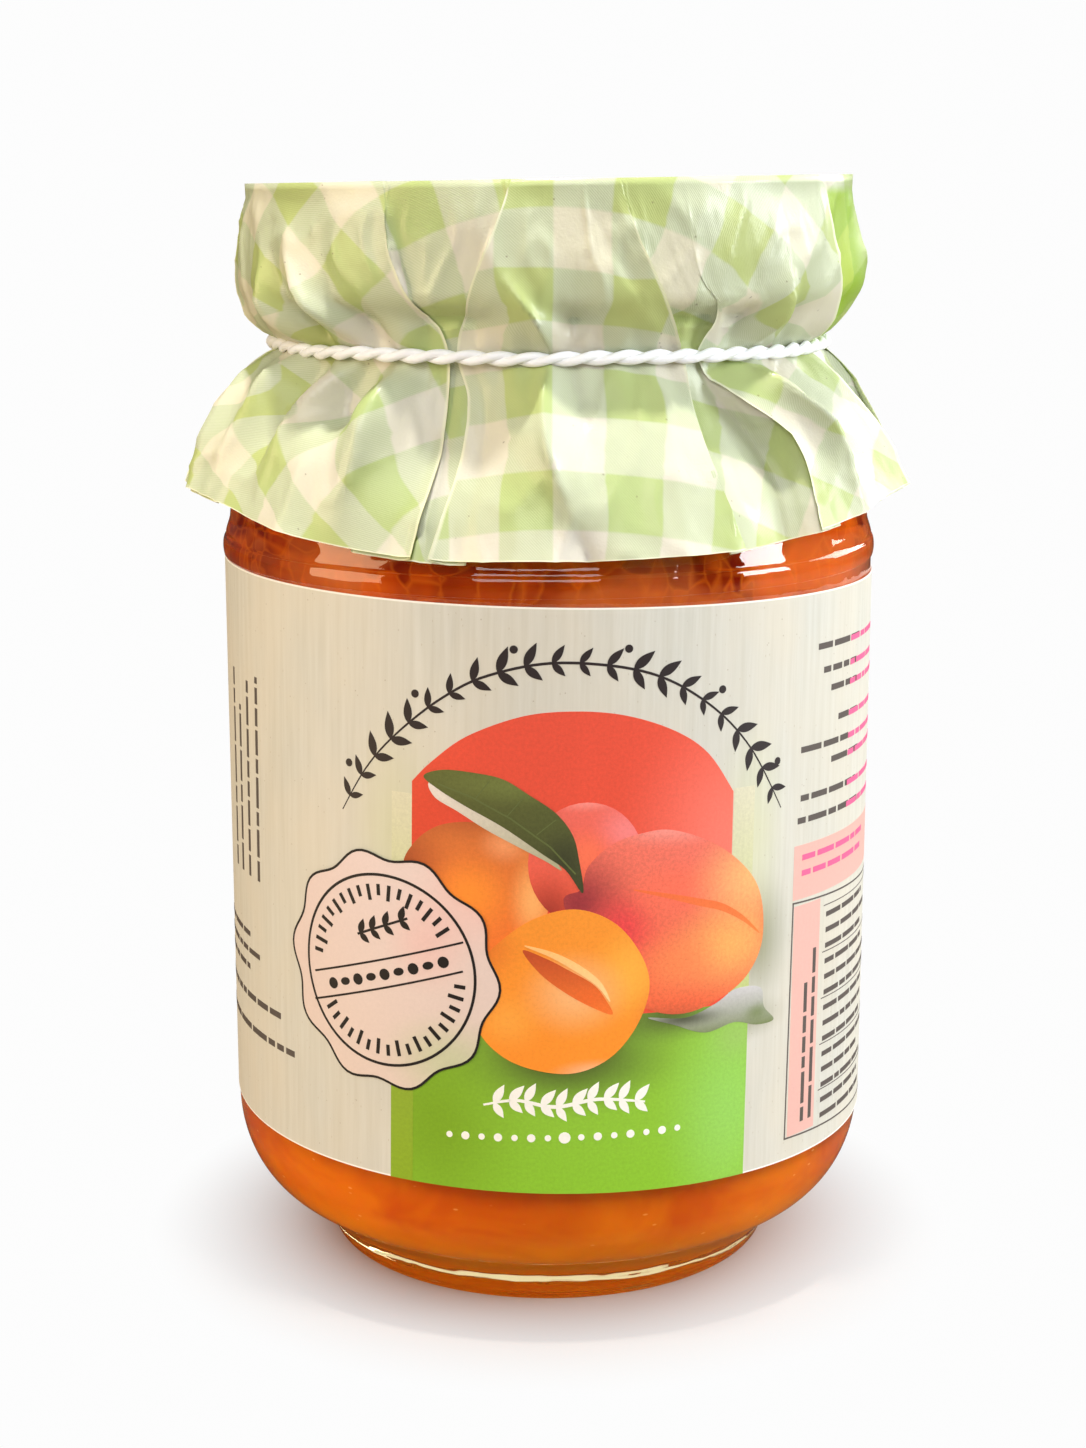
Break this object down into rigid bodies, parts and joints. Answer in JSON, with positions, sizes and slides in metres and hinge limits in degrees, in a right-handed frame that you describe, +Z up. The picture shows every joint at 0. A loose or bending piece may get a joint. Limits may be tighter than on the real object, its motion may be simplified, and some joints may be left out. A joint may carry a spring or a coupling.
{
  "type": "jam jar",
  "caption": "Round glass jam jar full of apricot jam, with a gathered paper cover tied over its lid and a wrapped paper label.",
  "frame": {"origin": "middle of the foot, on the plane the jar stands on", "axes": "+Z up along the jar's axis to the paper-covered lid; -Y is the middle of the label's front; +X is to the right seen from the front"},
  "size_m": [0.0786, 0.0786, 0.1194],
  "materials": {
    "glass": "clear, glossy",
    "jam": "glossy, orange apricot jam with small bubbles and fibres",
    "lid": "lacquered, gloss",
    "cover_paper": "waxed, printed with green checks",
    "cord": "white, two-ply twist",
    "label_paper": "matt, ribbed, cream"
  },
  "bodies": {
    "root": {"glass_jar": "glass", "jam": "jam", "lid": "lid", "paper_cover": "cover_paper", "tie_cord": "cord", "label": "label_paper"}
  },
  "joints": []
}
